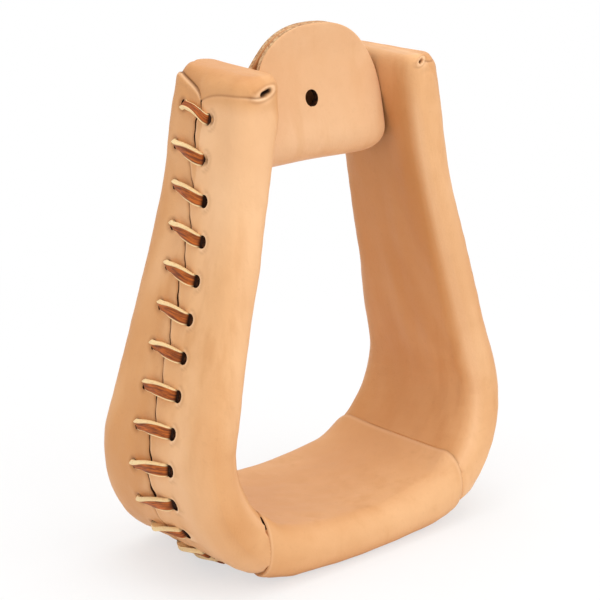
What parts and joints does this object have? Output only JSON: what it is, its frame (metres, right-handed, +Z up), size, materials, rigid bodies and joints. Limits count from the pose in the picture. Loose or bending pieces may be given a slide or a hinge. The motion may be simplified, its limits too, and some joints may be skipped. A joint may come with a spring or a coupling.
{
  "type": "stirrup",
  "caption": "Leather-covered bentwood stirrup with a flat tread, a laced seam up the outside of each arm and a folded leather pad that swings on its top bar.",
  "frame": {"origin": "on the floor under the middle of the tread, midway between the arms and between front and rear", "axes": "+Z up towards the bar and the strap, X from one arm to the other along the bar, the foot goes in along +Y from the front, which is -Y"},
  "size_m": [0.1698, 0.0822, 0.2116],
  "materials": {
    "leather": "smooth natural vegetable-tanned leather",
    "lace_leather": "brown lace leather with a pale cut edge",
    "wood": "plain sanded hardwood",
    "steel": "plain steel"
  },
  "bodies": {
    "frame": {"bow_inner_strip": "wood", "bow_middle_strip": "wood", "bow_outer_strip": "wood", "left_arm_cover": "leather", "right_arm_cover": "leather", "left_arm_lace": "lace_leather", "right_arm_lace": "lace_leather", "tread_cover": "leather", "tread_lace": "lace_leather", "stirrup_bolt": "steel", "bolt_nut": "steel", "left_washer": "steel", "right_washer": "steel"},
    "roller": {"bar_roller": "steel"},
    "pad": {"bar_pad": "leather"}
  },
  "joints": [
    {"name": "roller_spin", "type": "hinge", "parent": "frame", "child": "roller", "pos_m": [0, 0, 0.1673], "axis": [1, 0, 0], "continuous": true},
    {"name": "pad_swing", "type": "hinge", "parent": "frame", "child": "pad", "pos_m": [0, 0, 0.1673], "axis": [1, 0, 0], "continuous": true}
  ]
}
